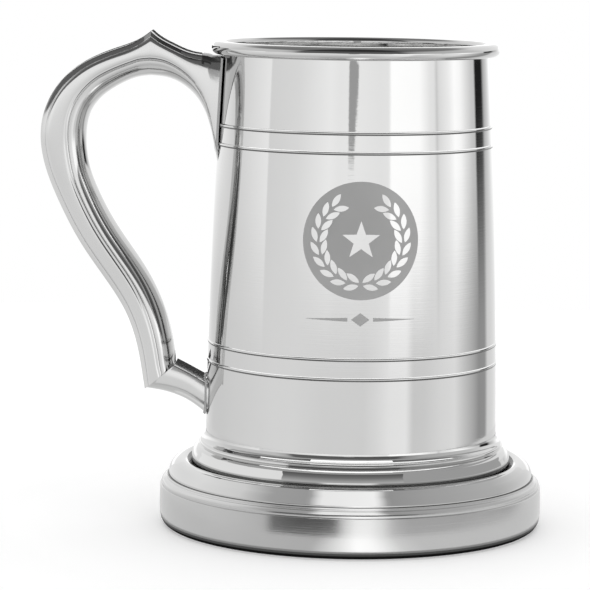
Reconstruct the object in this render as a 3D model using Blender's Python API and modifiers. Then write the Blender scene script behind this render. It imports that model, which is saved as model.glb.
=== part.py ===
"""A one-pint pewter tankard: a tapered drum on a stepped foot, with a hollow cast handle.

Origin on the drum's axis at the standing face, +Z up, the handle towards -X, the front towards -Y.
Lengths below are in millimetres and become metres when a mesh is made.
"""

import math

import bpy

MM = 0.001
STEPS = 56
GAP = 0.3
SHARP_ANGLE = math.radians(35)

# Drum: the radius follows one curve from the foot to the mouth.
DRUM_LOW_Z = 26.0
DRUM_HIGH_Z = 138.0
DRUM_LOW_R = 42.75
DRUM_HIGH_R = 38.8
DRUM_BOW = 1.5
DRUM_WALL = 1.4
DRUM_SKIRT_Z = 20.6
DRUM_EDGE_Z = 138.9
LINE_PROUD = 0.28
LINE_HALF = 0.55
LINE_HEIGHTS = (117.8, 112.3, 54.4, 48.8)

# Mouth rim: a round moulding with a rebate that the drum's edge enters.
RIM_Z = 140.0
RIM_R = 40.15
RIM_BEAD = 1.9
RIM_INNER_R = DRUM_HIGH_R - DRUM_WALL
RIM_REBATE_R = DRUM_HIGH_R + GAP

# Floor and foot.
FLOOR_TOP_Z = 25.0
FLOOR_THICK = 1.8
COLLAR_TOP_Z = 26.2
COLLAR_LOW_Z = 17.3
COLLAR_LEDGE_Z = DRUM_SKIRT_Z - GAP
FLANGE_LOW_Z = 15.5
BAND_TOP_Z = 14.6
BAND_R = 56.3
BAND_WALL = 1.8
STAND_R = 54.2
PLATE_R = 52.6
PLATE_THICK = 1.6

# Handle: each rib is a point on the back line and one on the finger side, as (x, z).
ROOT_RIBS = [
    ((-37.0, 136.3), (-37.9, 101.5)),
    ((-41.8, 136.5), (-40.6, 110.0)),
    ((-42.7, 137.9), (-41.4, 114.2)),
    ((-45.2, 138.2), (-43.3, 120.6)),
    ((-48.7, 138.9), (-46.6, 126.0)),
    ((-53.2, 140.9), (-51.0, 129.5)),
    ((-56.6, 142.8), (-55.2, 131.1)),
    ((-59.2, 144.7), (-59.6, 131.5)),
]
BACK_RIBS = [
    ((-59.2, 144.7), (-59.6, 131.5)),
    ((-62.4, 142.4), (-62.3, 131.2)),
    ((-66.3, 140.6), (-65.2, 130.4)),
    ((-72.9, 138.3), (-69.3, 128.4)),
    ((-79.8, 134.9), (-73.7, 125.4)),
    ((-86.0, 129.5), (-76.8, 121.6)),
    ((-90.1, 122.5), (-78.1, 117.8)),
    ((-91.6, 114.8), (-78.4, 114.3)),
    ((-90.6, 106.4), (-78.1, 109.6)),
    ((-87.1, 96.7), (-76.5, 102.0)),
    ((-80.0, 82.7), (-70.2, 88.9)),
    ((-70.0, 68.6), (-60.5, 75.0)),
    ((-65.5, 60.3), (-55.4, 64.7)),
    ((-62.8, 51.5), (-52.7, 54.4)),
    ((-60.8, 39.6), (-51.8, 47.1)),
]
STRUT_RIBS = [
    ((-51.8, 47.1), (-60.8, 39.6)),
    ((-49.0, 45.7), (-54.5, 38.5)),
    ((-46.0, 44.1), (-48.4, 36.2)),
    ((-43.0, 42.5), (-43.1, 32.5)),
    ((-39.0, 40.4), (-38.5, 29.2)),
]
HANDLE_HALF_TOP = 8.6
HANDLE_HALF_LOW = 7.4
HANDLE_ROUND = 6.5
HANDLE_WALL = 1.6
STRAP_THICK = 1.7
STRUT_HALF = 7.0
STRUT_ROUND = 3.0
ROOT_CLEAR = 1.35
SEAM_INNER = 0.45
SEAM_OUTER = 1.05
SEAM_SPREAD = 0.7


def clear_scene():
    for obj in list(bpy.data.objects):
        bpy.data.objects.remove(obj, do_unlink=True)


def make_collection(name):
    collection = bpy.data.collections.new(name)
    bpy.context.scene.collection.children.link(collection)
    return collection


def make_metal(name, colour, roughness):
    material = bpy.data.materials.new(name)
    material.use_nodes = True
    shader = material.node_tree.nodes["Principled BSDF"]
    shader.inputs["Base Color"].default_value = (*colour, 1.0)
    shader.inputs["Metallic"].default_value = 1.0
    shader.inputs["Roughness"].default_value = roughness
    return material


def add_object(name, points, edges, faces, material, collection):
    mesh = bpy.data.meshes.new(name)
    mesh.from_pydata([[c * MM for c in p] for p in points], edges, faces)
    obj = bpy.data.objects.new(name, mesh)
    collection.objects.link(obj)
    if material:
        mesh.materials.append(material)
    return obj


def revolve(name, profile, material, collection):
    """A solid turned from (radius, height) points that run down the outer side first."""
    count = len(profile)
    on_axis = profile[0][0] == 0 and profile[-1][0] == 0
    edges = [(i, i + 1) for i in range(count - 1)]
    if not on_axis:
        edges.append((count - 1, 0))
    points = [(r, 0.0, z) for r, z in profile]
    obj = add_object(name, points, edges, [], material, collection)
    screw = obj.modifiers.new("Turn", "SCREW")
    screw.axis = "Z"
    screw.angle = 2 * math.pi
    screw.steps = STEPS
    screw.render_steps = STEPS
    screw.use_merge_vertices = True
    screw.merge_threshold = 0.00001
    return obj


def loft(name, rings, material, collection):
    """A solid through rings of equal length, closed by a face at each end."""
    size = len(rings[0])
    points = [point for ring in rings for point in ring]
    faces = [list(range(size))]
    for ring in range(len(rings) - 1):
        start = ring * size
        for i in range(size):
            j = (i + 1) % size
            faces.append([start + i, start + size + i, start + size + j, start + j])
    last = (len(rings) - 1) * size
    faces.append([last + i for i in reversed(range(size))])
    return add_object(name, points, [], faces, material, collection)


def arc(centre, radius, start, end, count):
    """Points on a circle in the (radius, height) plane, angles in degrees."""
    found = []
    for i in range(count + 1):
        angle = math.radians(start + (end - start) * i / count)
        found.append((centre[0] + radius * math.cos(angle), centre[1] + radius * math.sin(angle)))
    return found


def catmull(points, per_span):
    """A smooth line through points of any dimension, with per_span steps between two of them."""
    first = [2 * a - b for a, b in zip(points[0], points[1])]
    last = [2 * a - b for a, b in zip(points[-1], points[-2])]
    padded = [first, *points, last]
    found = [tuple(points[0])]
    for k in range(1, len(padded) - 2):
        a, b, c, d = padded[k - 1 : k + 3]
        for step in range(1, per_span + 1):
            t = step / per_span
            point = []
            for p, q, r, s in zip(a, b, c, d):
                square = 2 * p - 5 * q + 4 * r - s
                cube = 3 * q - p - 3 * r + s
                point.append(0.5 * (2 * q + (r - p) * t + square * t * t + cube * t**3))
            found.append(tuple(point))
    return found


def smooth_ribs(ribs, per_span):
    line = catmull([(*back, *front) for back, front in ribs], per_span)
    return [((p[0], p[1]), (p[2], p[3])) for p in line]


def drum_radius(z):
    share = min(max((z - DRUM_LOW_Z) / (DRUM_HIGH_Z - DRUM_LOW_Z), 0.0), 1.0)
    return DRUM_LOW_R - (DRUM_LOW_R - DRUM_HIGH_R) * share**DRUM_BOW


def drum_profile():
    """Down the outside with its four raised lines, then up the inside."""
    heights = [DRUM_EDGE_Z, 132.0, 125.0, 100.0, 88.0, 76.0, 64.0, 38.0, DRUM_LOW_Z, DRUM_SKIRT_Z]
    outside = [(drum_radius(z), z) for z in heights]
    for z in LINE_HEIGHTS:
        outside.append((drum_radius(z), z + LINE_HALF))
        outside.append((drum_radius(z) + LINE_PROUD, z))
        outside.append((drum_radius(z), z - LINE_HALF))
    outside.sort(key=lambda point: -point[1])
    inside = [(drum_radius(z) - DRUM_WALL, z) for z in reversed(heights)]
    return outside + inside


def rim_profile():
    outer = arc((RIM_R, RIM_Z), RIM_BEAD, 105, -95, 9)
    underside = [(RIM_REBATE_R, RIM_Z - RIM_BEAD + 0.2), (RIM_REBATE_R, DRUM_EDGE_Z + GAP)]
    inner = [(RIM_INNER_R, DRUM_EDGE_Z + GAP), (RIM_INNER_R, RIM_Z + 0.7), (38.2, RIM_Z + 1.55)]
    return outer + underside + inner


def collar_profile():
    """A small cove, a bead and a taller bulge, bored for the drum's skirt, with a ledge below it."""
    bore = DRUM_LOW_R + GAP
    cove = [(bore, COLLAR_TOP_Z), (43.4, COLLAR_TOP_Z), (43.9, 25.5)]
    bead = arc((44.6, 24.45), 1.05, 70, -60, 5)
    bulge = [(45.3, 23.2), (46.3, 22.0), (46.85, 20.4), (46.75, 18.9), (46.2, 17.9), (45.6, COLLAR_LOW_Z)]
    inside = [(41.0, COLLAR_LOW_Z), (41.0, COLLAR_LEDGE_Z), (bore, COLLAR_LEDGE_Z)]
    return cove + bead + bulge + inside


def shoulder_profile():
    """A round shoulder whose flange passes under the collar and whose skirt passes inside the band."""
    flange = [(41.5, COLLAR_LOW_Z - GAP), (46.0, COLLAR_LOW_Z - GAP), (46.8, 17.5), (47.6, 18.4), (48.4, 19.0)]
    outer = arc((49.4, 15.1), 4.2, 90, -10, 7)
    skirt = [(53.1, 13.4), (52.2, 12.2), (52.2, 9.0), (50.6, 9.0), (50.6, 12.9)]
    inside = arc((49.0, 14.6), 2.5, 0, 100, 5)
    return flange + outer + skirt + inside + [(46.4, FLANGE_LOW_Z + 0.1), (41.5, FLANGE_LOW_Z)]


def band_profile():
    """A small fillet, a rounded top edge, a plain face that swells a little, and a turned-under foot."""
    top = [(53.7, BAND_TOP_Z - 0.7), (54.0, BAND_TOP_Z - 0.1), (54.4, BAND_TOP_Z - 0.5)]
    edge = [(54.8, 13.9), (55.4, 13.4), (55.8, 12.5), (55.7, 12.0), (55.95, 11.6)]
    face = [(56.2, 9.0), (BAND_R, 5.5), (56.2, 3.2), (55.8, 1.4), (55.1, 0.4), (STAND_R, 0.0)]
    inside = [(52.9, 0.0), (52.9, 1.9), (BAND_R - BAND_WALL, 4.0), (BAND_R - BAND_WALL, 8.0), (53.9, 11.5)]
    return top + edge + face + inside + [(53.4, 12.3)]


def disc_profile(radius, low, high, edge):
    return [
        (0.0, high),
        (radius - edge, high),
        (radius, high - edge),
        (radius, low + edge),
        (radius - edge, low),
        (0.0, low),
    ]


def rib_frame(rib):
    """A function from (across, depth) on a rib to a point, and the rib's depth."""
    (bx, bz), (fx, fz) = rib
    depth = math.hypot(fx - bx, fz - bz)
    ux, uz = (fx - bx) / depth, (fz - bz) / depth

    def place(across, down):
        return (bx + ux * down, across, bz + uz * down)

    return place, depth


def half_width(share):
    return HANDLE_HALF_TOP + (HANDLE_HALF_LOW - HANDLE_HALF_TOP) * share


def rounded_side(half, depth, round_depth, count):
    """From the straight side at +half, round the finger side, to the straight side at -half."""
    start = depth - round_depth
    found = []
    for i in range(count + 1):
        angle = math.pi * i / count
        found.append((half * math.cos(angle), start + round_depth * math.sin(angle)))
    return found


def channel_ring(rib, half):
    """A U section, open towards the back strap."""
    place, depth = rib_frame(rib)
    reach = min(HANDLE_ROUND, 0.6 * depth)
    start = STRAP_THICK + GAP
    outer = [(half, start), *rounded_side(half, depth, reach, 8), (-half, start)]
    inner_half = half - HANDLE_WALL
    inner = rounded_side(inner_half, depth - HANDLE_WALL, reach - HANDLE_WALL, 6)
    inner = [(inner_half, start), *inner, (-inner_half, start)]
    return [place(a, d) for a, d in outer + inner[::-1]]


def strap_ring(rib, half):
    place, _ = rib_frame(rib)
    corners = [(half, 0.3), (half, STRAP_THICK), (-half, STRAP_THICK), (-half, 0.3)]
    return [place(a, d) for a, d in corners + [(-half + 0.3, 0.0), (half - 0.3, 0.0)]]


def solid_ring(rib, half, round_depth, spread=0.0):
    """A filled section: flat at the back, rounded at the front, larger all round by spread."""
    place, depth = rib_frame(rib)
    side = rounded_side(half + spread, depth + spread, round_depth, 8)
    return [place(a, d) for a, d in [(half + spread, -spread), *side, (-half - spread, -spread)]]


def shift_rib(rib, dx, dz):
    return tuple((x + dx, z + dz) for x, z in rib)


def handle_ribs():
    root = ROOT_RIBS[:3] + smooth_ribs(ROOT_RIBS[2:], 2)[1:]
    back = smooth_ribs(BACK_RIBS, 2)
    return root + back[1:]


def cut(obj, operation, cutter):
    boolean = obj.modifiers.new(cutter.name, "BOOLEAN")
    boolean.operation = operation
    boolean.object = cutter
    boolean.solver = "EXACT"


def make_cutter(name, offset, collection, hollow_to=None):
    """The drum's outer form grown by offset: a plug, or a shell that reaches hollow_to."""
    heights = [143.0, 138.0, 128.0, 118.0, 108.0, 98.0, 60.0, 50.0, 40.0, 26.0]
    if hollow_to is None:
        profile = [(0.0, heights[0])]
        profile += [(drum_radius(z) + offset, z) for z in heights]
        profile.append((0.0, heights[-1]))
    else:
        profile = [(drum_radius(z) + hollow_to, z) for z in heights]
        profile += [(drum_radius(z) + offset, z) for z in reversed(heights)]
    cutter = revolve(name, profile, None, collection)
    cutter.hide_render = True
    cutter.display_type = "WIRE"
    return cutter


def make_handle(polished, solder, parts, cutters):
    ribs = handle_ribs()
    halves = [half_width(i / (len(ribs) - 1)) for i in range(len(ribs))]
    plug = make_cutter("drum_plug", ROOT_CLEAR, cutters)
    shell = make_cutter("seam_shell", SEAM_INNER, cutters, SEAM_OUTER)

    channel = loft("handle_channel", [channel_ring(r, h) for r, h in zip(ribs, halves)], polished, parts)
    strap = loft("handle_back_strap", [strap_ring(r, h) for r, h in zip(ribs, halves)], polished, parts)

    (x0, z0), (x1, z1) = STRUT_RIBS[0]
    length = math.hypot(x1 - x0, z1 - z0)
    away = (-(z1 - z0) / length * GAP, (x1 - x0) / length * GAP)
    strut_ribs = smooth_ribs([shift_rib(STRUT_RIBS[0], *away)] + STRUT_RIBS[1:], 2)
    rings = [solid_ring(rib, STRUT_HALF, STRUT_ROUND) for rib in strut_ribs]
    strut = loft("handle_strut", rings, polished, parts)
    for piece in (channel, strap, strut):
        cut(piece, "DIFFERENCE", plug)

    seams = (
        ("upper_handle_solder", ROOT_RIBS[:3], HANDLE_HALF_TOP, HANDLE_ROUND),
        ("lower_handle_solder", STRUT_RIBS[2:], STRUT_HALF, STRUT_ROUND),
    )
    for name, seam_ribs, half, reach in seams:
        rings = [solid_ring(rib, half, reach, SEAM_SPREAD) for rib in seam_ribs]
        cut(loft(name, rings, solder, parts), "INTERSECT", shell)


def make_body(polished, satin, solder, parts):
    revolve("drum", drum_profile(), polished, parts)
    revolve("mouth_rim", rim_profile(), polished, parts)
    floor_r = DRUM_LOW_R - DRUM_WALL - GAP
    floor_low = FLOOR_TOP_Z - FLOOR_THICK
    revolve("drum_floor", disc_profile(floor_r, floor_low, FLOOR_TOP_Z, 0.3), polished, parts)
    revolve("foot_collar", collar_profile(), polished, parts)
    revolve("foot_shoulder", shoulder_profile(), polished, parts)
    revolve("base_band", band_profile(), satin, parts)
    revolve("base_plate", disc_profile(PLATE_R, 0.0, PLATE_THICK, 0.4), satin, parts)

    # Solder fillets, each in the corner of the joint that it closes.
    low = floor_low - GAP
    floor_fillet = [(floor_r, low), (floor_r, low - 1.9), (floor_r - 2.4, low)]
    revolve("floor_solder", floor_fillet, solder, parts)
    plate_high = PLATE_THICK + GAP
    plate_fillet = [(PLATE_R, plate_high + 1.7), (PLATE_R, plate_high), (PLATE_R - 2.4, plate_high)]
    revolve("base_solder", plate_fillet, solder, parts)
    flange_low = FLANGE_LOW_Z - GAP
    shoulder_fillet = [(44.6, flange_low), (43.4, flange_low - 1.0), (42.0, flange_low)]
    revolve("collar_solder", shoulder_fillet, solder, parts)


def main():
    clear_scene()
    parts = make_collection("pewter_tankard")
    cutters = make_collection("cutters")
    cutters.hide_render = True
    polished = make_metal("polished_pewter", (0.74, 0.74, 0.73), 0.08)
    satin = make_metal("satin_pewter", (0.68, 0.68, 0.67), 0.3)
    solder = make_metal("solder", (0.6, 0.6, 0.6), 0.4)
    make_body(polished, satin, solder, parts)
    make_handle(polished, solder, parts, cutters)
    for obj in parts.objects:
        if obj.data.polygons:
            obj.data.shade_smooth()
            obj.data.set_sharp_from_angle(angle=SHARP_ANGLE)


main()
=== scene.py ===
"""The looks of a one-pint pewter tankard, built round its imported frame.

Lengths are in millimetres and become metres when a mesh is made. +Z is up, the handle is
towards -X and the front towards -Y. The main heights and radii come from the frame's boxes,
and an outline of a turned piece is a list of (radius, height) points.
"""

import math

import bpy
from mathutils import Matrix, Vector


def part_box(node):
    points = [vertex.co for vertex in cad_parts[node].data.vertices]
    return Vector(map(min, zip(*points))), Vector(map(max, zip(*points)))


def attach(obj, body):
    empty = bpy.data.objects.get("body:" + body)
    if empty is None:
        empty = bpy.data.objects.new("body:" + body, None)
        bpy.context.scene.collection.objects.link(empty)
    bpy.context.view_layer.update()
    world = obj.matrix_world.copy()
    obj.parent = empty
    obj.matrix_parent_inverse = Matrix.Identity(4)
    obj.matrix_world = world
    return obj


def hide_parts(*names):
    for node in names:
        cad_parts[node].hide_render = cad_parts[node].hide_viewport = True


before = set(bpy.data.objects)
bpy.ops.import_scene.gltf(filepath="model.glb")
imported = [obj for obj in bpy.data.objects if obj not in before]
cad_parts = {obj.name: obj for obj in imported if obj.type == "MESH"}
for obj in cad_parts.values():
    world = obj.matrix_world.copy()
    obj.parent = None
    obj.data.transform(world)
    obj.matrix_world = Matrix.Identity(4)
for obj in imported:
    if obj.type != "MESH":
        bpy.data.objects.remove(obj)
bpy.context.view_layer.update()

MM = 0.001
BODY = "root"


def box_mm(node):
    low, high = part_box(node)
    return low / MM, high / MM


RIM_LOW, RIM_HIGH = box_mm("mouth_rim")
DRUM_LOW, DRUM_HIGH = box_mm("drum")
COLLAR_LOW, COLLAR_HIGH = box_mm("foot_collar")
FLOOR_LOW, FLOOR_HIGH = box_mm("drum_floor")
BAND_R = box_mm("base_band")[1].x
PLATE_R = box_mm("base_plate")[1].x


# ---------------------------------------------------------------- sizes of the body

# How many faces a turned piece has round it, and how many rows the drum and each of its lines has.
SEGMENTS = 288
DRUM_ROWS = 90
LINE_ROWS = 16

# Drum: its radius follows one curve from the collar to the mouth.
WALL = 1.4
DRUM_FOOT_R = 42.75
DRUM_MOUTH_R = 38.8
DRUM_FOOT_Z = COLLAR_HIGH.z - 0.2
DRUM_RISE = 112.0
DRUM_BOW = 1.5
LINE_HEIGHTS = (117.8, 112.3, 54.4, 48.8)
LINE_HALF = 0.55
LINE_PROUD = 0.28

# Mouth rim: the radius of its round bead, the place of the bead's middle, and the radius to
# which its inner edge is rounded.
BEAD = (RIM_HIGH.z - RIM_LOW.z) / 2
RIM_R = RIM_HIGH.x - BEAD
RIM_Z = RIM_HIGH.z - BEAD
LIP = 1.2

# Foot mouldings, from the top down. An arc is given by its middle and its radius.
COLLAR_COVE = [(42.78, 27.6), (42.86, 26.9), (43.1, 26.15), (43.5, 25.55), (43.95, 25.2)]
COLLAR_BEAD = ((43.95, 24.35), 0.8)
COLLAR_BULGE = [
    (44.5, 23.6), (45.4, 23.1), (46.3, 22.1), (46.85, 20.6), (46.8, 19.2), (46.3, 17.9), (45.6, 17.2),
]
COLLAR_INSIDE_R = 41.0
SHOULDER_CREASE = [(43.0, 16.9), (45.7, 17.05)]
SHOULDER_RISE = [(46.3, 17.25), (47.0, 18.1), (48.2, 18.95)]
SHOULDER_ROUND = ((49.4, 15.1), 4.2)
SHOULDER_LEDGE = [(53.35, 14.3), (53.0, 13.5)]
SHOULDER_INSIDE = [(50.6, 12.9), (48.6, 16.8), (46.6, 15.8), (43.0, 15.6)]
BAND_FILLET = ((53.75, 14.0), 0.5)
BAND_EDGE = ((54.35, 12.25), 1.42)
BAND_GROOVE = [(55.66, 12.15), (55.68, 11.85), (56.02, 11.78)]
BAND_FACE = [
    (56.12, 11.65), (56.2, 9.5), (BAND_R, 6.0), (56.2, 3.6), (55.9, 1.9), (55.2, 0.7), (54.2, 0.0),
]
BAND_INSIDE = [(52.75, 0.0), (52.75, 1.9), (52.75, 13.2)]

# Floor: how far it reaches into the wall, the fillet round it, and a shallow spot in its middle.
FLOOR_REACH = 0.3
FLOOR_FILLET = 2.6
FLOOR_FLAT = 4.0
SPOT_R = 3.0
SPOT_SLOPE = 0.4
SPOT_DEPTH = 0.1

# Closing plate: its thickness, its eased edge, and the radii of the rings turned in it.
PLATE_THICK = 1.2
PLATE_EASE = 0.3
PLATE_RINGS = (PLATE_R - 6.0, PLATE_R - 22.0, 6.0)
RING_DEPTH = 0.25
RING_FLAT = 0.15
RING_HALF = 0.5

# Painted shade fills the corner under each raised line, between these two depths below its middle.
LINE_SHADOW = (0.12, 0.62)
# Painted shade also lies in the crease between the collar and the shoulder, out to this radius.
CREASE_R = 48.5
# And painted shade where the shoulder meets the band, within this radius and above this height.
BAND_SHADOW = (54.0, 14.05)
# And a painted shadow at the handle's upper root, in the gap under the rim, towards the drum from
# this x and above this height.
ROOT_SHADOW = (-44.4, 135.4)


# ---------------------------------------------------------------- sizes of the engraving

# The roundel's place, by its angle from the front and its middle's height, and its radius.
MARK_TURN = math.radians(3.5)
MARK_Z = 87.9
MARK_R = 16.6
# How far the frosted shapes and the polished ones over them stand off the drum.
GROUND_LIFT = 0.02
LEAF_LIFT = 0.05
# The wreath: pairs of leaves on each side, the angle of the lowest pair and the step to the
# next, the radius it follows, how far its leaves stand and lean to either side, and their size.
LEAF_PAIRS = 9
LEAF_START = -78
LEAF_STEP = 17
WREATH_R = 0.72 * MARK_R
LEAF_OFFSET = 1.35
LEAF_TILT = 0.42
LEAF_LENGTH = 4.4
LEAF_WIDTH = 1.7
STAR_R = 5.6
STAR_WAIST = 0.4
# The flourish: the lozenge's half width and height, and where each side of the line starts, how
# many steps of 1 mm it has and its half height there.
FLOURISH_Z = 65.8
LOZENGE = (2.6, 1.9)
FLOURISH_START = 3.6
FLOURISH_STEPS = 12
FLOURISH_THICK = 0.55


# ---------------------------------------------------------------- sizes of the handle

# Ribs: a point on the back line and one on the finger side, as (x, z). The ribs of the notch
# end at the drum under the rim, and are the only ones that smoothing leaves out.
TIP = ((-59.2, 144.7), (-59.6, 131.5))
ROOT_RIBS = [
    TIP,
    ((-56.7, 142.7), (-55.2, 131.1)),
    ((-53.2, 140.9), (-51.0, 129.5)),
    ((-48.7, 138.9), (-46.6, 126.0)),
    ((-45.2, 138.2), (-43.3, 120.6)),
    ((-42.7, 137.9), (-41.4, 114.2)),
]
NOTCH_RIBS = [
    ((-41.8, 137.5), (-40.6, 110.0)),
    ((-38.9, 137.4), (-39.5, 104.0)),
]
BACK_RIBS = [
    TIP,
    ((-62.4, 142.4), (-62.3, 131.2)),
    ((-66.3, 140.6), (-65.2, 130.4)),
    ((-72.9, 138.3), (-69.3, 128.4)),
    ((-79.8, 134.9), (-73.7, 125.4)),
    ((-86.0, 129.5), (-76.8, 121.6)),
    ((-90.1, 122.5), (-78.1, 117.8)),
    ((-91.6, 114.8), (-78.4, 114.3)),
    ((-90.6, 106.4), (-78.1, 109.6)),
    ((-87.1, 96.7), (-76.5, 102.0)),
    ((-80.0, 82.7), (-70.2, 88.9)),
    ((-70.0, 68.6), (-60.5, 75.0)),
    ((-65.5, 60.3), (-55.4, 64.7)),
    ((-62.8, 51.5), (-52.7, 54.4)),
    ((-60.8, 39.6), (-51.8, 47.1)),
]
# The strut's ribs start with the point on its top.
STRUT_RIBS = [
    ((-51.8, 47.1), (-60.8, 39.6)),
    ((-49.0, 45.7), (-54.5, 38.5)),
    ((-46.0, 44.1), (-48.4, 36.2)),
    ((-43.0, 42.5), (-43.1, 32.5)),
    ((-41.7, 41.8), (-41.7, 31.6)),
]
# Half the width across, at the drum and at the strut.
HALF_TOP = 8.6
HALF_LOW = 7.4
# The strap: its thickness, the drop from its middle to its edges, and how far an edge slopes out.
STRAP_THICK = 1.7
STRAP_CROWN = 0.3
STRAP_SLOPE = 0.62
# The joint line between the strap and the channel.
HAIRLINE = 0.03
# The rounded finger side: its depth, and the most of the channel's own depth that it may take.
FINGER_ROUND = 4.6
FINGER_SHARE = 0.42
STRUT_ROUND = 3.0
# The channel's side: a wide crowned band, as (share of the way down, how far it stands in from
# the widest line), then a ridge and a groove, as (distance before the finger side, how far in).
SIDE_CROWN = [
    (0.0, 0.50), (0.04, 0.31), (0.1, 0.17), (0.18, 0.09), (0.3, 0.05), (0.5, 0.02), (0.75, 0.0),
    (0.95, 0.01),
]
SIDE_RIDGE = [
    (1.55, 0.02), (1.3, 0.12), (1.05, 0.2), (0.8, 0.2), (0.55, 0.13), (0.35, 0.2), (0.22, 0.42),
    (0.12, 0.42), (0.0, 0.15),
]
# The crowned band ends this share of the way to the ridge, and a short flat joins them.
CROWN_SHARE = 0.98
# The strut's top corner, as (how far it stands in from the side, depth below the top).
STRUT_CORNER = [(0.0, 0.45), (0.12, 0.12), (0.45, 0.0), (0.6, 0.0)]


# ---------------------------------------------------------------- meshes


def new_object(name, points, faces, materials, smooth_angle=35):
    mesh = bpy.data.meshes.new(name)
    mesh.from_pydata([[c * MM for c in p] for p in points], [], faces)
    mesh.validate()
    mesh.update()
    mesh.shade_smooth()
    mesh.set_sharp_from_angle(angle=math.radians(smooth_angle))
    obj = bpy.data.objects.new(name, mesh)
    bpy.context.scene.collection.objects.link(obj)
    for material in materials:
        mesh.materials.append(material)
    return obj


def place(obj, slot, *nodes):
    """The piece rides on the body and stands for the nodes, which it hides. The slot is not used."""
    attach(obj, BODY)
    if nodes:
        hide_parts(*nodes)
    return obj


def turned(name, profile, material, closed=True):
    """A mesh turned from an outline that runs down the outer side first."""
    rows = len(profile)
    points, faces, rings = [], [], []
    for r, z in profile:
        if r == 0:
            rings.append([len(points)] * SEGMENTS)
            points.append((0.0, 0.0, z))
            continue
        rings.append(list(range(len(points), len(points) + SEGMENTS)))
        for k in range(SEGMENTS):
            angle = 2 * math.pi * k / SEGMENTS
            points.append((r * math.cos(angle), r * math.sin(angle), z))
    for i in range(rows if closed else rows - 1):
        upper, lower = rings[i], rings[(i + 1) % rows]
        for k in range(SEGMENTS):
            n = (k + 1) % SEGMENTS
            corners = [upper[k], lower[k], lower[n], upper[n]]
            faces.append(list(dict.fromkeys(corners)))
    return new_object(name, points, faces, [material])


def arc(centre, radius, start, end, count):
    """Points on a circle in the (radius, height) plane, angles in degrees."""
    found = []
    for i in range(count + 1):
        angle = math.radians(start + (end - start) * i / count)
        found.append((centre[0] + radius * math.cos(angle), centre[1] + radius * math.sin(angle)))
    return found


def catmull(points, per_span):
    """A line through points of any dimension, with per_span steps between two of them."""
    first = [2 * a - b for a, b in zip(points[0], points[1])]
    last = [2 * a - b for a, b in zip(points[-1], points[-2])]
    padded = [first, *points, last]
    found = [tuple(points[0])]
    for k in range(1, len(padded) - 2):
        a, b, c, d = padded[k - 1 : k + 3]
        for step in range(1, per_span + 1):
            t = step / per_span
            point = []
            for p, q, r, s in zip(a, b, c, d):
                square = 2 * p - 5 * q + 4 * r - s
                cube = 3 * q - p - 3 * r + s
                point.append(0.5 * (2 * q + (r - p) * t + square * t * t + cube * t**3))
            found.append(tuple(point))
    return found


def relax(points, rounds):
    """Evens out the curvature of a line, which keeps its two ends."""
    line = [list(p) for p in points]
    for _ in range(rounds):
        previous = [list(p) for p in line]
        for i in range(1, len(line) - 1):
            for axis in range(len(line[i])):
                mean = (previous[i - 1][axis] + previous[i + 1][axis]) / 2
                line[i][axis] = (previous[i][axis] + mean) / 2
    return [tuple(p) for p in line]


def smooth_ribs(ribs, per_span=10, rounds=14):
    line = relax(catmull([(*back, *front) for back, front in ribs], per_span), rounds)
    return [((p[0], p[1]), (p[2], p[3])) for p in line]


def loft(name, rings, materials, smooth_angle=35):
    """A closed skin through rings of equal length, with a face at each end."""
    size = len(rings[0])
    points = [p for ring in rings for p in ring]
    faces = [list(range(size))]
    for ring in range(len(rings) - 1):
        start = ring * size
        for i in range(size):
            j = (i + 1) % size
            faces.append([start + i, start + size + i, start + size + j, start + j])
    last = (len(rings) - 1) * size
    faces.append([last + i for i in reversed(range(size))])
    return new_object(name, points, faces, materials, smooth_angle)


# ---------------------------------------------------------------- materials


class Nodes:
    """A material's nodes, added and wired in one call each."""

    def __init__(self, name):
        self.material = bpy.data.materials.new(name)
        self.material.use_nodes = True
        self.tree = self.material.node_tree
        self.shader = self.tree.nodes["Principled BSDF"]

    def add(self, kind, settings=None, **inputs):
        """A node whose inputs are given by name, or as i and a number."""
        node = self.tree.nodes.new(kind)
        for key, value in (settings or {}).items():
            setattr(node, key, value)
        for key, value in inputs.items():
            numbered = key[0] == "i" and key[1:].isdigit()
            socket = node.inputs[int(key[1:]) if numbered else key]
            if isinstance(value, bpy.types.NodeSocket):
                self.tree.links.new(value, socket)
            else:
                socket.default_value = value
        return node.outputs[0]

    def remap(self, value, low, high, new_low, new_high):
        return self.add("ShaderNodeMapRange", i0=value, i1=low, i2=high, i3=new_low, i4=new_high)

    def link(self, output, socket):
        self.tree.links.new(output, self.shader.inputs[socket])


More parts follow.
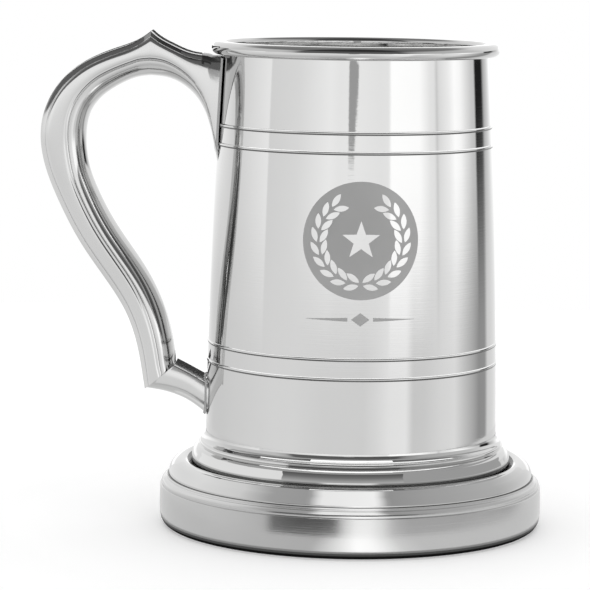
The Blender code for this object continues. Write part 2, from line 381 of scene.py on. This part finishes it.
def pewter(name, tone, roughness, lines, cloudiness, metallic=1.0):
    """Pewter, with fine lines left by turning, soft cloudy wear and a few faint marks."""
    n = Nodes(name)
    multiply = {"operation": "MULTIPLY"}
    coords = n.tree.nodes.new("ShaderNodeTexCoord").outputs["Object"]
    xyz = n.tree.nodes.new("ShaderNodeSeparateXYZ")
    n.tree.links.new(coords, xyz.inputs[0])
    # Radius and height stand for the place on a turned surface, so noise in them makes rings.
    level = n.add("ShaderNodeVectorMath", multiply, i0=coords, i1=(1.0, 1.0, 0.0))
    length = n.tree.nodes.new("ShaderNodeVectorMath")
    length.operation = "LENGTH"
    n.tree.links.new(level, length.inputs[0])
    drift = n.add("ShaderNodeVectorMath", multiply, i0=coords, i1=(0.02, 0.02, 0.0))
    ring = n.add("ShaderNodeCombineXYZ", i0=length.outputs["Value"], i2=xyz.outputs[2])
    ring = n.add("ShaderNodeVectorMath", {"operation": "ADD"}, i0=ring, i1=drift)
    turning = n.add("ShaderNodeTexNoise", Vector=ring, Scale=2600.0, Detail=3.0, Roughness=0.6)
    clouds = n.add("ShaderNodeTexNoise", Vector=coords, Scale=38.0, Detail=5.0, Roughness=0.55)
    grain = n.add("ShaderNodeTexNoise", Vector=coords, Scale=900.0, Detail=2.0, Roughness=0.5)

    shade = n.remap(clouds, 0.3, 0.7, tone * (1 - cloudiness), tone)
    cooler = n.add("ShaderNodeMath", multiply, i0=shade, i1=0.995)
    n.link(n.add("ShaderNodeCombineColor", i0=shade, i1=shade, i2=cooler), "Base Color")
    n.link(n.remap(clouds, 0.3, 0.75, roughness * 0.8, roughness * 1.35), "Roughness")
    height = n.add("ShaderNodeMath", {"operation": "MULTIPLY_ADD"}, i0=turning, i1=lines, i2=grain)
    n.link(n.add("ShaderNodeBump", Height=height, Strength=0.12, Distance=0.00002), "Normal")
    n.shader.inputs["Metallic"].default_value = metallic
    return n.material


POLISHED = pewter("polished_pewter", tone=0.62, roughness=0.035, lines=2.0, cloudiness=0.03)
INSIDE = pewter("inside_pewter", tone=0.62, roughness=0.36, lines=6.0, cloudiness=0.08, metallic=0.6)
SATIN = pewter("satin_pewter", tone=0.6, roughness=0.16, lines=4.0, cloudiness=0.05)
CAST = pewter("cast_pewter", tone=0.62, roughness=0.09, lines=0.0, cloudiness=0.04)
SOLDER = pewter("solder", tone=0.45, roughness=0.35, lines=0.0, cloudiness=0.15)
# A dark pewter that paints shade, for creases, the handle's root and under the raised lines.
PAINTED_SHADE = pewter("painted_shade_pewter", tone=0.16, roughness=0.3, lines=0.0, cloudiness=0.2)
FROSTED = pewter("frosted_pewter", tone=0.50, roughness=0.55, lines=0.0, cloudiness=0.06)


# ---------------------------------------------------------------- body


def paint_shade(obj, inside):
    """Paints shade: gives the dark pewter to the faces whose middle is inside."""
    obj.data.materials.append(PAINTED_SHADE)
    for face in obj.data.polygons:
        if inside(face.center / MM):
            face.material_index = 1


def drum_radius(z):
    share = min(max((z - DRUM_FOOT_Z) / DRUM_RISE, 0.0), 1.0)
    return DRUM_FOOT_R - (DRUM_FOOT_R - DRUM_MOUTH_R) * share**DRUM_BOW


def line_bump(z):
    """How far a raised line stands out of the drum at this height."""
    for middle in LINE_HEIGHTS:
        share = abs(z - middle) / LINE_HALF
        if share < 1:
            return LINE_PROUD * math.sqrt(1 - share * share)
    return 0.0


def drum_heights():
    """Heights of the drum's rows from the top down, which lie closer over each raised line."""
    plain = [DRUM_HIGH.z - (DRUM_HIGH.z - DRUM_LOW.z) * i / DRUM_ROWS for i in range(DRUM_ROWS + 1)]
    fine = []
    for middle in LINE_HEIGHTS:
        plain = [z for z in plain if abs(z - middle) > LINE_HALF]
        turns = [math.pi * i / LINE_ROWS for i in range(LINE_ROWS + 1)]
        fine += [middle + LINE_HALF * math.cos(turn) for turn in turns]
    return sorted(plain + fine, reverse=True)


def under_a_line(point):
    return any(LINE_SHADOW[0] < z - point.z < LINE_SHADOW[1] for z in LINE_HEIGHTS)


def make_drum():
    heights = drum_heights()
    outside = [(drum_radius(z) + line_bump(z), z) for z in heights]
    drum = turned("drum_wall", outside, POLISHED, closed=False)
    # Painted shade: a dark strip under each raised line.
    paint_shade(drum, under_a_line)
    place(drum, "polished_pewter", "drum")
    inside = [(drum_radius(z) - WALL, z) for z in reversed(heights) if z > FLOOR_LOW.z]
    lining = turned("drum_inside", inside, INSIDE, closed=False)
    place(lining, "polished_pewter")


def make_rim():
    inner_r = DRUM_MOUTH_R - WALL
    bottom = RIM_Z - BEAD
    outer = arc((RIM_R, RIM_Z), BEAD, 90, -100, 40)
    below = [(DRUM_MOUTH_R + 0.1, bottom + 0.15), (DRUM_MOUTH_R - 0.2, bottom), (inner_r, bottom)]
    inner = arc((inner_r + LIP, RIM_Z + BEAD - LIP), LIP, 180, 90, 12)
    rim = turned("rim_bead", outer + below + inner, POLISHED)
    place(rim, "polished_pewter", "mouth_rim")


def make_collar():
    cove = catmull(COLLAR_COVE, 6)
    bead = arc(*COLLAR_BEAD, 80, -55, 16)
    bulge = catmull(COLLAR_BULGE, 6)
    inside = [
        (COLLAR_INSIDE_R, COLLAR_LOW.z),
        (COLLAR_INSIDE_R, COLLAR_HIGH.z - 6),
        (DRUM_FOOT_R - 0.1, COLLAR_HIGH.z - 5),
    ]
    collar = turned("collar_moulding", cove + bead + bulge + inside, POLISHED)
    place(collar, "polished_pewter", "foot_collar")


def make_shoulder():
    top = SHOULDER_CREASE + catmull(SHOULDER_RISE, 5)
    outer = arc(*SHOULDER_ROUND, 96, -8, 36)
    shoulder = turned("shoulder_moulding", top + outer + SHOULDER_LEDGE + SHOULDER_INSIDE, POLISHED)
    # Painted shade in the crease between the collar and the shoulder.
    paint_shade(shoulder, lambda p: math.hypot(p.x, p.y) < CREASE_R)
    place(shoulder, "polished_pewter", "foot_shoulder")


def make_band():
    top = arc(*BAND_FILLET, 150, -10, 12) + arc(*BAND_EDGE, 78, 5, 20)
    band = turned("band_hoop", top + BAND_GROOVE + catmull(BAND_FACE, 8) + BAND_INSIDE, SATIN)
    # Painted shade where the shoulder meets the band.
    paint_shade(band, lambda p: math.hypot(p.x, p.y) < BAND_SHADOW[0] and p.z > BAND_SHADOW[1])
    place(band, "satin_pewter", "base_band")


def make_floor_disc():
    r = FLOOR_HIGH.x + FLOOR_REACH
    top = FLOOR_HIGH.z
    spot = [(0.0, top - SPOT_DEPTH), (SPOT_R, top - SPOT_DEPTH), (SPOT_R + SPOT_SLOPE, top)]
    fillet = arc((r - FLOOR_FILLET, top + FLOOR_FILLET), FLOOR_FILLET, -90, -10, 10)
    under = [(r, FLOOR_LOW.z), (0.0, FLOOR_LOW.z)]
    profile = [*spot, (r - FLOOR_FLAT, top), *fillet, *under]
    place(turned("floor_disc", profile, INSIDE, closed=False), "polished_pewter", "drum_floor")


def make_closing_disc():
    profile = [(0.0, PLATE_THICK), (PLATE_R, PLATE_THICK)]
    profile += [(PLATE_R, PLATE_EASE), (PLATE_R - PLATE_EASE, 0.0)]
    for r in PLATE_RINGS:
        profile += [(r + RING_HALF, 0.0), (r + RING_FLAT, RING_DEPTH)]
        profile += [(r - RING_FLAT, RING_DEPTH), (r - RING_HALF, 0.0)]
    profile.append((0.0, 0.0))
    place(turned("closing_disc", profile, SATIN, closed=False), "satin_pewter", "base_plate")


def dress_solder():
    """The solder fillets stay as they came, with the finished solder in place of the plain one."""
    below = ("floor_solder", "collar_solder", "base_solder")
    for node in (*below, "upper_handle_solder", "lower_handle_solder"):
        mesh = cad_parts[node].data
        mesh.materials.clear()
        mesh.materials.append(SOLDER)


# ---------------------------------------------------------------- engraving


def on_drum(across, up, lift):
    """A point on the drum's front, from a distance across and a height above the mark's centre."""
    z = MARK_Z + up
    r = drum_radius(z)
    angle = MARK_TURN + across / r
    return ((r + lift) * math.sin(angle), -(r + lift) * math.cos(angle), z)


def split(outline, longest=0.8):
    """The same outline with no edge longer than that, so that it can follow the drum."""
    found = []
    for a, b in zip(outline, outline[1:] + outline[:1]):
        pieces = math.ceil(math.dist(a, b) / longest)
        for i in range(pieces):
            share = i / pieces
            found.append((a[0] + (b[0] - a[0]) * share, a[1] + (b[1] - a[1]) * share))
    return found


def patch(name, outlines, lift, material, rings=6):
    """Shapes laid on the drum: each is a web of rings round the middle of its outline."""
    points, faces = [], []
    for outline in map(split, outlines):
        start, count = len(points), len(outline)
        middle = [sum(p[i] for p in outline) / count for i in (0, 1)]
        points.append(on_drum(*middle, lift))
        for ring in range(1, rings + 1):
            for p in outline:
                reach = [middle[i] + (p[i] - middle[i]) * ring / rings for i in (0, 1)]
                points.append(on_drum(*reach, lift))
        for i in range(count):
            n = (i + 1) % count
            faces.append([start, start + 1 + i, start + 1 + n])
            for ring in range(rings - 1):
                inner, outer = start + 1 + ring * count, start + 1 + (ring + 1) * count
                faces.append([inner + i, outer + i, outer + n, inner + n])
    place(new_object(name, points, faces, [material]), "satin_pewter")


def leaf(centre, direction):
    """A pointed leaf round centre, as an outline that runs anticlockwise."""
    cos, sin = math.cos(direction), math.sin(direction)
    found = []
    for side in (-1, 1):
        for i in range(8):
            share = i / 8 if side < 0 else 1 - i / 8
            out = side * LEAF_WIDTH / 2 * math.sin(math.pi * share) ** 0.8
            along = (share - 0.5) * LEAF_LENGTH
            found.append((centre[0] + cos * along - sin * out, centre[1] + sin * along + cos * out))
    return found


def wreath():
    """Two rows of leaves up each side, which lean away from the line between them."""
    leaves = []
    for side in (-1, 1):
        for i in range(LEAF_PAIRS):
            angle = math.radians(LEAF_START + LEAF_STEP * i)
            for row in (-1, 1):
                reach = WREATH_R + row * LEAF_OFFSET
                centre = (side * reach * math.cos(angle), reach * math.sin(angle))
                direction = angle + math.pi / 2 - row * LEAF_TILT
                if side < 0:
                    direction = math.pi - direction
                leaves.append(leaf(centre, direction))
    return leaves


def star(points=5):
    found = []
    for i in range(2 * points):
        angle = math.pi / 2 + math.pi * i / points
        reach = STAR_R if i % 2 == 0 else STAR_R * STAR_WAIST
        found.append((reach * math.cos(angle), reach * math.sin(angle)))
    return found


def flourish():
    """A lozenge, and a line that tapers away to each side of it."""
    drop = FLOURISH_Z - MARK_Z
    wide, tall = LOZENGE
    shapes = [[(-wide, drop), (0.0, drop - tall), (wide, drop), (0.0, drop + tall)]]
    for side in (-1, 1):
        for i in range(FLOURISH_STEPS):
            near, far = FLOURISH_START + i, FLOURISH_START + i + 1
            thick = FLOURISH_THICK * (1 - i / (FLOURISH_STEPS + 1))
            thin = FLOURISH_THICK * (1 - (i + 1) / (FLOURISH_STEPS + 1))
            bar = [(near, drop - thick), (far, drop - thin), (far, drop + thin), (near, drop + thick)]
            shapes.append(bar if side > 0 else [(-a, b) for a, b in reversed(bar)])
    return shapes


def make_engraving():
    """A plain laurel wreath round a star, over a line broken by a lozenge."""
    around = [math.radians(3 * k) for k in range(120)]
    roundel = [(MARK_R * math.cos(angle), MARK_R * math.sin(angle)) for angle in around]
    patch("roundel_ground", [roundel], GROUND_LIFT, FROSTED, rings=16)
    patch("laurel_leaves", wreath(), LEAF_LIFT, POLISHED)
    patch("centre_star", [star()], LEAF_LIFT, POLISHED)
    patch("flourish", flourish(), GROUND_LIFT, FROSTED)


# ---------------------------------------------------------------- handle


def rib_frame(rib):
    """A function from (across, depth) on a rib to a point, and the rib's depth."""
    (bx, bz), (fx, fz) = rib
    depth = math.hypot(fx - bx, fz - bz)
    ux, uz = (fx - bx) / depth, (fz - bz) / depth

    def at(across, down):
        return (bx + ux * down, across, bz + uz * down)

    return at, depth


def mirrored(side):
    """The same (across, depth) points on the other side, in the opposite order."""
    return [(-across, down) for across, down in reversed(side)]


def finger_side(half, depth, reach, count):
    """From the straight side at +half, round the finger side, to the side at -half."""
    start = depth - reach
    found = []
    for i in range(count + 1):
        angle = math.pi * i / count
        found.append((half * math.cos(angle), start + reach * math.sin(angle)))
    return found


def side_line(half, start, end):
    """The channel's side at +half, from under the strap down to the finger side."""
    crown = (end - SIDE_RIDGE[0][0] - start) * CROWN_SHARE
    found = [(half - inset, start + crown * share) for share, inset in SIDE_CROWN]
    return found + [(half - inset, end - before) for before, inset in SIDE_RIDGE]


def channel_ring(rib, half):
    at, depth = rib_frame(rib)
    reach = min(FINGER_ROUND, FINGER_SHARE * depth)
    side = side_line(half, STRAP_THICK + HAIRLINE, depth - reach)
    fingers = finger_side(half - SIDE_RIDGE[-1][1], depth, reach, 32)
    return [at(a, d) for a, d in side + fingers + mirrored(side)]


def strap_ring(rib, half):
    """A strap with a crowned back and long edges that slope outwards down to the channel."""
    at, _ = rib_frame(rib)
    low = half - SIDE_CROWN[0][1]
    back = []
    for i in range(21):
        share = 1 - 2 * i / 20
        back.append(((low - STRAP_SLOPE) * share, STRAP_CROWN * abs(share) ** 2.6))
    under = [(-low, STRAP_THICK - 0.1), (-low, STRAP_THICK)]
    return [at(a, d) for a, d in back + under + mirrored(under)]


def strut_ring(rib, half):
    """Flat on top with crisp edges, rounded below."""
    at, depth = rib_frame(rib)
    corner = [(half - inset, down) for inset, down in STRUT_CORNER]
    side = finger_side(half, depth, STRUT_ROUND, 24)
    return [at(a, d) for a, d in corner + mirrored(corner) + side[::-1]]


def handle_ribs():
    """Ribs from the drum up over the tip, then down the back to the strut."""
    root = smooth_ribs(ROOT_RIBS[::-1])
    back = smooth_ribs(BACK_RIBS)
    return NOTCH_RIBS[::-1] + root + back[1:]


def make_handle():
    ribs = handle_ribs()
    count = len(ribs)
    halves = [HALF_TOP + (HALF_LOW - HALF_TOP) * i / (count - 1) for i in range(count)]
    channel = loft("handle_body", [channel_ring(r, h) for r, h in zip(ribs, halves)], [CAST], 30)
    place(channel, "polished_pewter", "handle_channel")
    strap = loft("handle_back", [strap_ring(r, h) for r, h in zip(ribs, halves)], [CAST], 30)
    place(strap, "polished_pewter", "handle_back_strap")
    # Painted shadow at the handle's upper root, under the rim.
    for piece in (channel, strap):
        paint_shade(piece, lambda p: p.x > ROOT_SHADOW[0] and p.z > ROOT_SHADOW[1])
    strut_ribs = smooth_ribs(STRUT_RIBS, 8, 6)
    strut = loft("handle_arm", [strut_ring(r, HALF_LOW) for r in strut_ribs], [CAST], 30)
    place(strut, "polished_pewter", "handle_strut")


# ---------------------------------------------------------------- studio


def even(brightness):
    """Stops for a card that is equally bright all round."""
    return [(-180, brightness), (180, brightness)]


# Studio brightness round the object: degrees from the camera's side, positive towards +X, and
# the brightness there. Two stops close together make a crisp edge. WALLS is what level
# surfaces mirror, GROUND what is mirrored from below the horizon and SKY from above it.
WALLS = [
    (-180, 1.40), (-150, 1.30), (-118, 0.95), (-76, 1.27), (-74.5, 1.02), (-48, 1.10), (-30, 1.24),
    (-20, 1.32), (-12, 1.26), (4, 1.28), (22, 1.22), (29, 1.24), (31, 1.62), (56, 1.58), (66, 1.25),
    (71, 1.20), (73, 0.90), (75, 1.12), (86, 1.35), (93, 1.60), (100, 1.50), (108, 1.18), (116, 0.92),
    (121, 0.85), (123.5, 0.02), (136, 0.02), (141, 0.60), (151, 0.90), (162, 1.30), (180, 1.40),
]
GROUND = [
    (-180, 1.00), (-140, 0.86), (-106, 0.97), (-64, 1.05), (-46, 1.05), (-21, 0.99), (10, 0.98),
    (20, 1.07), (30, 1.20), (44, 1.24), (50, 0.92), (60, 0.94), (75, 1.06), (90, 1.12), (101, 0.86),
    (114, 0.60), (122, 0.42), (133, 0.42), (139, 0.92), (180, 1.00),
]
SKY = [
    (-180, 1.05), (-130, 1.00), (-110, 0.85), (-62, 0.80), (-52, 0.60), (-46, 0.16), (38, 0.14),
    (46, 0.40), (60, 0.60), (110, 0.80), (130, 1.00), (180, 1.05),
]
# Each range is where one of them gives way to the next, by the sine of the height above the
# horizon. Steep ground and the ceiling are the ground and the sky times a shade.
STEEP_RANGE = (-0.75, -0.3)
STEEP_SHADE = 0.72
GROUND_RANGE = (-0.115, -0.01)
SKY_RANGE = (0.08, 0.13)
CEILING_RANGE = (0.55, 0.75)
CEILING_SHADE = 0.3
# What all but mirrored rays see of the world.
BACKDROP = 1.0

# The floor, in metres: half its width and how far it reaches behind, then in front.
FLOOR_HALF = 0.5
FLOOR_FRONT = 1.4
FLOOR_DROP = 0.0001
FLOOR_GLOW = 0.19

# Cards that only reflections see, lying round the foot: brightness by the degrees round the axis.
NEAR_GROUND = [
    (-180, 0.80), (-60, 0.80), (-42, 0.76), (-12, 0.70), (-5, 1.15), (3, 1.70), (9, 1.60), (18, 1.00),
    (26, 0.85), (180, 0.82),
]
FAR_GROUND = [
    (-180, 0.85), (-112, 0.90), (-69, 0.86), (-50, 0.80), (-37, 0.72), (-33, 0.22), (-18, 0.11),
    (-6, 0.15), (-2, 0.95), (3, 1.40), (9, 1.40), (14, 1.15), (19, 0.70), (26, 0.56), (62, 0.58),
    (84, 0.55), (101, 0.90), (180, 0.85),
]
# Flat rings at one height, as (name, inner radius, outer radius, brightness), and a low wall
# round them.
# The contact ring and the two edge rings are a painted contact shadow that only reflections see.
GROUND_CARDS = [
    ("contact_card", 50.0, 55.8, even(0.01)),
    ("edge_card_dark", 55.8, 57.4, even(0.11)),
    ("edge_card", 57.4, 59.5, even(0.38)),
    ("near_card", 59.5, 101.0, NEAR_GROUND),
]
GROUND_CARD_Z = 0.1
FAR_CARD = [(104.0, 16.0), (101.0, GROUND_CARD_Z)]

# Cards over the raised lines, as (distance out from the drum, height above the line), and over
# the collar's cove and bead. Each pair of angles is where a card starts and ends.
LINE_LIGHT = [(0.8, 3.2), (6.0, 4.8)]
LINE_TURN = (-62, 100)
COVE_LIGHT = [(46.2, 29.8), (50.0, 31.2)]
BEAD_LIGHT = [(44.4, 29.2), (46.2, 29.8)]
BEAD_TURN = (-16, 18)

# Cards round the bulge: light on the left, dark in front, which fades by height, and grey on the
# right. One more card stands over the shoulder.
BULGE_CARD = [(46.6, 23.9), (48.7, 23.0), (48.7, 19.9)]
BULGE_FADE = [(19.9, 0.65), (24.0, 0.12)]
BULGE_TURNS = (-75, -25, 20, 75)
SHOULDER_CARD = [(50.0, 23.2), (57.0, 23.2), (57.3, 14.0)]
SHOULDER_TURN = (-95, 95)
SHOULDER_LIGHT = [
    (-180, 1.00), (-95, 1.00), (-60, 1.10), (-38, 0.95), (-26, 0.54), (-13, 0.50), (-9, 1.30),
    (9, 1.40), (13, 0.45), (30, 0.55), (58, 0.66), (75, 0.85), (95, 0.95), (180, 1.00),
]

# A grey stand far in front, as (x, z) points. Dark cards stand behind the handle's top and the
# strut: their y, and how far their two edges are from the metal.
STAND = [(-68, 124), (0, 124), (20, 150), (48, 170), (60, 240), (-73, 240), (-73, 165)]
STAND_Y = -900.0
FLAG_Y = 10.5
FLAG_REACH = (2.8, 0.2)

# Brightness of the cards that are even all over.
BRIGHT = 1.8
LIGHT = 1.15
GREY = 0.50
DARK = 0.05

# The camera: its lens, then degrees round from the front, downwards and rolled, and metres.
LENS = 180.8
AZIMUTH = 1.5
PITCH = 7.04
ROLL = 0.64
DISTANCE = 0.872
TARGET = Vector((-0.0169, 0.0, 0.0674))


def math_node(tree, operation, a, b=0.0):
    node = tree.nodes.new("ShaderNodeMath")
    node.operation = operation
    for socket, value in zip(node.inputs, (a, b)):
        if isinstance(value, (int, float)):
            socket.default_value = value
        else:
            tree.links.new(value, socket)
    return node.outputs[0]


def blend(tree, factor, a, b):
    """a where factor is 0 and b where it is 1."""
    rest = math_node(tree, "SUBTRACT", 1.0, factor)
    part_a = math_node(tree, "MULTIPLY", rest, a)
    part_b = math_node(tree, "MULTIPLY", factor, b)
    return math_node(tree, "ADD", part_b, part_a)


def step(tree, value, low, high):
    """0 below low and 1 above high, with a smooth rise between them."""
    node = tree.nodes.new("ShaderNodeMapRange")
    node.interpolation_type = "SMOOTHSTEP"
    tree.links.new(value, node.inputs[0])
    node.inputs[1].default_value = low
    node.inputs[2].default_value = high
    return node.outputs[0]


def turn_from(tree, x, y):
    """Degrees round the axis, 0 towards the camera's side and positive towards +X."""
    towards_camera = math_node(tree, "MULTIPLY", y, -1.0)
    turn = math_node(tree, "ARCTAN2", x, towards_camera)
    return math_node(tree, "MULTIPLY", turn, 180 / math.pi)


def ramp(tree, value, stops, low, high):
    """Brightness by a value that runs from low to high, through stops of (value, brightness)."""
    node = tree.nodes.new("ShaderNodeValToRGB")
    elements = node.color_ramp.elements
    while len(elements) > 1:
        elements.remove(elements[-1])
    peak = max(brightness for _, brightness in stops)
    for i, (position, brightness) in enumerate(stops):
        share = (position - low) / (high - low)
        stop = elements[0] if i == 0 else elements.new(share)
        stop.position = share
        stop.color = (brightness / peak, brightness / peak, brightness / peak, 1)
    above_low = math_node(tree, "SUBTRACT", value, low)
    tree.links.new(math_node(tree, "DIVIDE", above_low, high - low), node.inputs[0])
    return math_node(tree, "MULTIPLY", node.outputs[0], peak)


def place_of(tree, output):
    """The x, y and z of a texture coordinate."""
    coords = tree.nodes.new("ShaderNodeTexCoord")
    xyz = tree.nodes.new("ShaderNodeSeparateXYZ")
    tree.links.new(coords.outputs[output], xyz.inputs[0])
    return xyz.outputs


def make_floor():
    """Plain and pale. Mirrored rays pass it, because GROUND stands for it in reflections."""
    material = bpy.data.materials.new("pale_floor")
    material.use_nodes = True
    shader = material.node_tree.nodes["Principled BSDF"]
    shader.inputs["Base Color"].default_value = (0.9, 0.9, 0.9, 1)
    shader.inputs["Roughness"].default_value = 0.8
    shader.inputs["Emission Color"].default_value = (1, 1, 1, 1)
    shader.inputs["Emission Strength"].default_value = FLOOR_GLOW
    middle = (0, (FLOOR_HALF - FLOOR_FRONT) / 2, -FLOOR_DROP)
    bpy.ops.mesh.primitive_plane_add(size=1.0, location=middle)
    floor = bpy.context.object
    floor.scale = (2 * FLOOR_HALF, FLOOR_HALF + FLOOR_FRONT, 1)
    floor.name = "floor"
    floor.visible_glossy = False
    floor.data.materials.append(material)


def card_material(name, stops, by_height=False):
    """Light from the front face only, by the angle round the axis or by height in millimetres."""
    material = bpy.data.materials.new(name)
    material.use_nodes = True
    tree = material.node_tree
    tree.nodes.remove(tree.nodes["Principled BSDF"])
    x, y, z = place_of(tree, "Object")
    value = math_node(tree, "MULTIPLY", z, 1 / MM) if by_height else turn_from(tree, x, y)
    light = ramp(tree, value, stops, stops[0][0], stops[-1][0])
    glow = tree.nodes.new("ShaderNodeEmission")
    tree.links.new(light, glow.inputs["Strength"])
    clear = tree.nodes.new("ShaderNodeBsdfTransparent")
    side = tree.nodes.new("ShaderNodeNewGeometry")
    pick = tree.nodes.new("ShaderNodeMixShader")
    tree.links.new(side.outputs["Backfacing"], pick.inputs[0])
    tree.links.new(glow.outputs[0], pick.inputs[1])
    tree.links.new(clear.outputs[0], pick.inputs[2])
    tree.links.new(pick.outputs[0], tree.nodes["Material Output"].inputs["Surface"])
    return material


def reflected_only(name, points, faces, material):
    card = new_object(name, points, faces, [material])
    card.visible_camera = False
    card.visible_diffuse = False
    card.visible_shadow = False


def curved_card(name, line, start, end, material):
    """A card swept round the axis between two angles, along a line of (radius, height) points."""
    steps = max(2, round((end - start) / 3))
    points, faces = [], []
    for i in range(steps + 1):
        angle = math.radians(start + (end - start) * i / steps)
        points += [(r * math.sin(angle), -r * math.cos(angle), z) for r, z in line]
    size = len(line)
    for i in range(steps):
        for k in range(size - 1):
            a = i * size + k
            faces.append([a, a + size, a + size + 1, a + 1])
    reflected_only(name, points, faces, material)


def standing_flag(name, line, material):
    """A dark card that stands behind a line of (x, z) points, mirrored in the metal before it."""
    points = []
    for i, (x, z) in enumerate(line):
        (ax, az), (bx, bz) = line[max(i - 1, 0)], line[min(i + 1, len(line) - 1)]
        length = math.hypot(bx - ax, bz - az)
        out = ((bz - az) / length, -(bx - ax) / length)
        points += [(x + away * out[0], FLAG_Y, z + away * out[1]) for away in FLAG_REACH]
    faces = [[2 * i, 2 * i + 2, 2 * i + 3, 2 * i + 1] for i in range(len(line) - 1)]
    reflected_only(name, points, faces, material)


def make_ground_cards():
    for name, inner, outer, stops in GROUND_CARDS:
        line = [(outer, GROUND_CARD_Z), (inner, GROUND_CARD_Z)]
        curved_card(name, line, -180, 180, card_material(name, stops))
    curved_card("far_card", FAR_CARD, -180, 180, card_material("far_card", FAR_GROUND))


def make_object_cards():
    """Cards close to the drum, the foot and the handle."""
    bright = card_material("bright_card", even(BRIGHT))
    light = card_material("light_card", even(LIGHT))
    grey = card_material("grey_card", even(GREY))
    dark = card_material("dark_card", even(DARK))
    for i, z in enumerate(LINE_HEIGHTS):
        line = [(drum_radius(z) + out, z + up) for out, up in LINE_LIGHT]
        curved_card(f"line_light_{i}", line, *LINE_TURN, bright)
    curved_card("cove_light", COVE_LIGHT, *LINE_TURN, grey)
    curved_card("bead_light", BEAD_LIGHT, *BEAD_TURN, bright)
    left, front_left, front_right, right = BULGE_TURNS
    fade = card_material("bulge_fade", BULGE_FADE, by_height=True)
    curved_card("bulge_dark", BULGE_CARD, front_left, front_right, fade)
    curved_card("bulge_right", BULGE_CARD, front_right, right, grey)
    curved_card("bulge_light", BULGE_CARD, left, front_left, light)
    shoulder = card_material("shoulder_light", SHOULDER_LIGHT)
    curved_card("shoulder_card", SHOULDER_CARD, *SHOULDER_TURN, shoulder)
    points = [(x, STAND_Y, z) for x, z in STAND]
    reflected_only("stand", points, [list(range(len(points)))[::-1]], grey)
    backs = [back for back, _ in ROOT_RIBS[-2::-1] + BACK_RIBS[1:7]]
    standing_flag("handle_flag", backs, dark)
    standing_flag("strut_flag", [top for top, _ in STRUT_RIBS[-2::-1]], dark)


def make_world():
    """A soft studio for reflections: walls, ground and sky by direction. The rest is white."""
    world = bpy.data.worlds.new("studio")
    bpy.context.scene.world = world
    world.use_nodes = True
    tree = world.node_tree
    x, y, z = place_of(tree, "Generated")
    turn = turn_from(tree, x, y)
    walls, ground, sky = (ramp(tree, turn, stops, -180, 180) for stops in (WALLS, GROUND, SKY))
    steepness = blend(tree, step(tree, z, *STEEP_RANGE), STEEP_SHADE, 1.0)
    ceiling = blend(tree, step(tree, z, *CEILING_RANGE), 1.0, CEILING_SHADE)
    ground = math_node(tree, "MULTIPLY", ground, steepness)
    sky = math_node(tree, "MULTIPLY", sky, ceiling)
    light = blend(tree, step(tree, z, *GROUND_RANGE), ground, walls)
    light = blend(tree, step(tree, z, *SKY_RANGE), light, sky)
    mirrored_ray = tree.nodes.new("ShaderNodeLightPath").outputs["Is Glossy Ray"]
    background = tree.nodes["Background"]
    background.inputs["Color"].default_value = (1, 1, 1, 1)
    tree.links.new(blend(tree, mirrored_ray, BACKDROP, light), background.inputs["Strength"])


def make_camera():
    data = bpy.data.cameras.new("camera")
    camera = bpy.data.objects.new("camera", data)
    bpy.context.scene.collection.objects.link(camera)
    data.lens = LENS
    azimuth, pitch, roll = (math.radians(v) for v in (AZIMUTH, PITCH, ROLL))
    across = math.cos(pitch)
    back = Vector((math.sin(azimuth) * across, -math.cos(azimuth) * across, math.sin(pitch)))
    look = (-back).to_track_quat("-Z", "Y").to_matrix().to_4x4()
    spin = Matrix.Rotation(roll, 4, "Z")
    camera.matrix_world = Matrix.Translation(TARGET + back * DISTANCE) @ look @ spin
    bpy.context.scene.camera = camera


make_drum()
make_rim()
make_collar()
make_shoulder()
make_band()
make_floor_disc()
make_closing_disc()
make_engraving()
make_handle()
dress_solder()
make_floor()
make_ground_cards()
make_object_cards()
make_world()
make_camera()
bpy.context.scene.view_settings.view_transform = "Standard"
